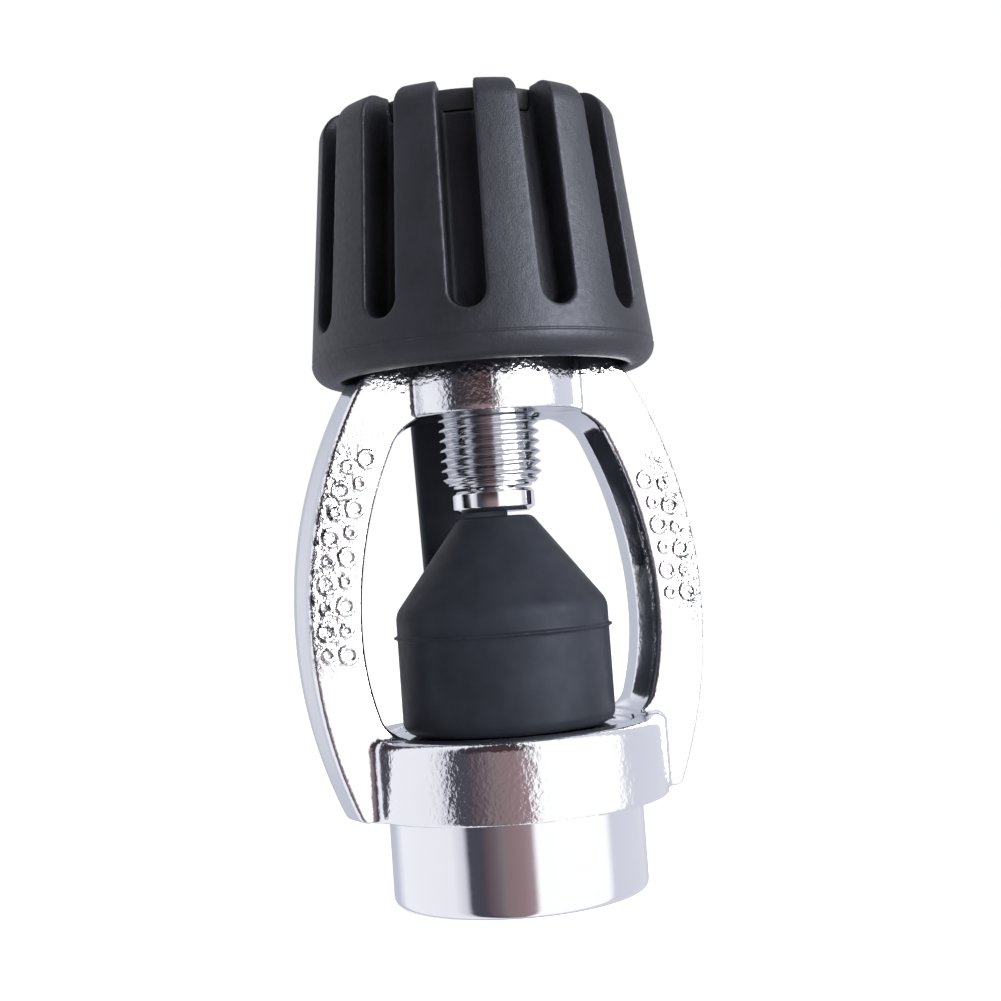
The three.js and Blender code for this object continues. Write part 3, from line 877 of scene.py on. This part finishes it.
def place(piece, material, body, slot, *nodes):
    """Gives a new piece its material and its body, and hides the CAD nodes that it stands for. The
    slot is not used.
    """
    piece.data.materials.append(material)
    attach(piece, body)
    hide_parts(*nodes)
    return piece


def dress(node, material):
    """A CAD node that keeps its shape and gets a finer material."""
    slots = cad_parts[node].material_slots
    for entry in slots:
        entry.material = material
    if not slots:
        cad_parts[node].data.materials.append(material)


forged = cast_chrome()
turned = turned_chrome()
rubber = cap_rubber()

place(make_yoke(), forged, "yoke", "chrome", "yoke")
place(make_socket(), turned, "yoke", "chrome", "din_socket")
place(make_valve_face(), turned, "yoke", "chrome", "valve_face")
place(make_strap_ring(), rubber, "yoke", "cap_rubber", "strap_ring")
place(make_screw(), thread_chrome(), "screw", "chrome", "clamp_screw")
place(make_foot(), turned, "foot", "chrome", "screw_foot")
place(make_knob(), knob_plastic(), "screw", "knob_plastic", "knob_grip")
place(make_knob_disc(), disc_plastic(), "screw", "knob_plastic", "knob_cap")
place(make_cap(), rubber, "cap", "cap_rubber", "dust_cap")

strap_piece = make_strap()
strap_piece.data.materials.append(rubber)
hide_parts("strap")
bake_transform(strap_piece)

dress("body_oring", nitrile())
dress("foot_clip", plain_steel())
dress("bolt_washer", plain_steel())
dress("knob_bolt", plain_steel())
dress("knob_hub", machined_brass())


# ------------------------------------------------------------------ floor, light and camera

def make_floor():
    """The pale floor, which the chrome doesn't reflect."""
    half = 4.0
    corners = [(-half, -half, 0), (half, -half, 0), (half, half, 0), (-half, half, 0)]
    floor = mesh_object("floor", np.array(corners), [(0, 1, 2, 3)])
    floor.data.materials.append(studio_floor())
    floor.visible_glossy = False


CAMERA_AROUND = math.radians(-18.08)
CAMERA_DISTANCE = 0.20178
CAMERA_HEIGHT = 0.04217
CAMERA_YAW = 0.0043
CAMERA_PITCH = math.radians(2.0)
CAMERA_ROLL = math.radians(-4.2)
CAMERA_LENS = 57.23
SENSOR = 36.0


def make_camera():
    """The camera stands round to the left of the front, looks slightly up and is rolled."""
    data = bpy.data.cameras.new("camera")
    data.sensor_width = SENSOR
    data.lens = CAMERA_LENS
    data.clip_start = 0.01
    ahead = Vector((math.sin(CAMERA_YAW) * math.cos(CAMERA_PITCH),
                    math.cos(CAMERA_YAW) * math.cos(CAMERA_PITCH),
                    math.sin(CAMERA_PITCH)))
    right = Vector((math.cos(CAMERA_YAW), -math.sin(CAMERA_YAW), 0))
    up = right.cross(ahead)
    tilted_right = math.cos(CAMERA_ROLL) * right + math.sin(CAMERA_ROLL) * up
    tilted_up = -math.sin(CAMERA_ROLL) * right + math.cos(CAMERA_ROLL) * up
    pose = Matrix((tilted_right, tilted_up, -ahead)).transposed().to_4x4()
    pose.translation = Vector((0, -CAMERA_DISTANCE, CAMERA_HEIGHT))
    camera = bpy.data.objects.new("camera", data)
    camera.matrix_world = Matrix.Rotation(CAMERA_AROUND, 4, "Z") @ pose
    bpy.context.scene.collection.objects.link(camera)
    bpy.context.scene.camera = camera


def make_softbox(name, place_at, aim, side, power):
    """A square area light, in metres and watts, turned towards a point."""
    data = bpy.data.lights.new(name, "AREA")
    data.shape = "SQUARE"
    data.size = side
    data.energy = power
    lamp = bpy.data.objects.new(name, data)
    turn = (Vector(aim) - Vector(place_at)).to_track_quat("-Z", "Y")
    lamp.matrix_world = Matrix.Translation(place_at) @ turn.to_matrix().to_4x4()
    bpy.context.scene.collection.objects.link(lamp)


# What stands round the object in the studio: degrees from the camera, positive to its right, and
# the colour there. Between two white walls lies a dark stretch, darker above eye level than below.
LEFT_WALL = [
    (-180, (0.42, 0.44, 0.51)),
    (-144, (0.50, 0.52, 0.59)),
    (-126, (0.84, 0.84, 0.87)),
    (-62, (0.80, 0.80, 0.825)),
    (-50, (0.60, 0.60, 0.66)),
]
RIGHT_WALL = [
    (16, (1.0, 1.0, 1.0)),
    (84, (0.98, 0.98, 0.99)),
    (91, (0.61, 0.62, 0.68)),
    (146, (0.65, 0.66, 0.72)),
    (180, (0.42, 0.44, 0.51)),
]
DARK_FRONT = [
    (-45, (0.060, 0.062, 0.080)),
    (-33, (0.060, 0.058, 0.075)),
    (-27, (0.115, 0.080, 0.095)),
    (-20, (0.145, 0.115, 0.130)),
    (-14, (0.20, 0.165, 0.170)),
    (-8, (0.235, 0.165, 0.170)),
    (3, (0.27, 0.190, 0.200)),
    (11, (0.34, 0.255, 0.275)),
]
DARK_FRONT_ABOVE = [
    (-45, (0.060, 0.062, 0.075)),
    (-30, (0.030, 0.028, 0.032)),
    (-20, (0.050, 0.035, 0.038)),
    (3, (0.060, 0.036, 0.038)),
    (11, (0.090, 0.085, 0.095)),
]
EYE_LEVEL = (0.0, 0.08)
WORLD_STRENGTH = 1.2


class World(Tree):
    """The node tree of the studio round the object."""

    def __init__(self, name):
        self.world = bpy.data.worlds.new(name)
        self.world.use_nodes = True
        super().__init__(self.world.node_tree)

    def wall(self, around, stops):
        """Colours by degrees from the camera; around runs from 0, straight behind, to 1."""
        node = self.add("ShaderNodeValToRGB", {0: around})
        for _ in stops[2:]:
            node.color_ramp.elements.new(0.5)
        for element, (degrees, colour) in zip(node.color_ramp.elements, stops):
            element.position = 0.5 + degrees / 360
            element.color = (*colour, 1)
        return node.outputs[0]


def make_world():
    """Plain soft studio surroundings, which the camera itself sees as white."""
    n = World("studio")
    bpy.context.scene.world = n.world
    direction = n.add("ShaderNodeTexCoord").outputs["Generated"]
    east, north, up = n.add("ShaderNodeSeparateXYZ", {0: direction}).outputs
    around = n.maths("ARCTAN2", east, n.maths("MULTIPLY", north, -1.0))
    turns = n.maths("DIVIDE", n.maths("SUBTRACT", around, CAMERA_AROUND), 2 * math.pi)
    half_turned = n.maths("FRACT", n.maths("ADD", turns, 0.5))
    low = n.wall(half_turned, LEFT_WALL + DARK_FRONT + RIGHT_WALL)
    high = n.wall(half_turned, LEFT_WALL + DARK_FRONT_ABOVE + RIGHT_WALL)
    wall = n.blended(n.spread(up, 0, 1, *EYE_LEVEL), low, high)

    background = n.tree.nodes["Background"]
    n.put(background.inputs["Color"], wall)
    n.put(background.inputs["Strength"], WORLD_STRENGTH)
    shown = n.add("ShaderNodeBackground", {"Color": (1, 1, 1, 1)})
    to_camera = n.add("ShaderNodeLightPath").outputs["Is Camera Ray"]
    inputs = {0: to_camera, 1: background.outputs[0], 2: shown.outputs[0]}
    mix = n.add("ShaderNodeMixShader", inputs)
    n.put(n.tree.nodes["World Output"].inputs["Surface"], mix.outputs[0])


make_floor()
make_camera()
make_world()
make_softbox("key", place_at=(0.40, -0.52, 0.16), aim=(0, 0, 0.04), side=0.50, power=9.0)
bpy.context.scene.view_settings.view_transform = "Standard"
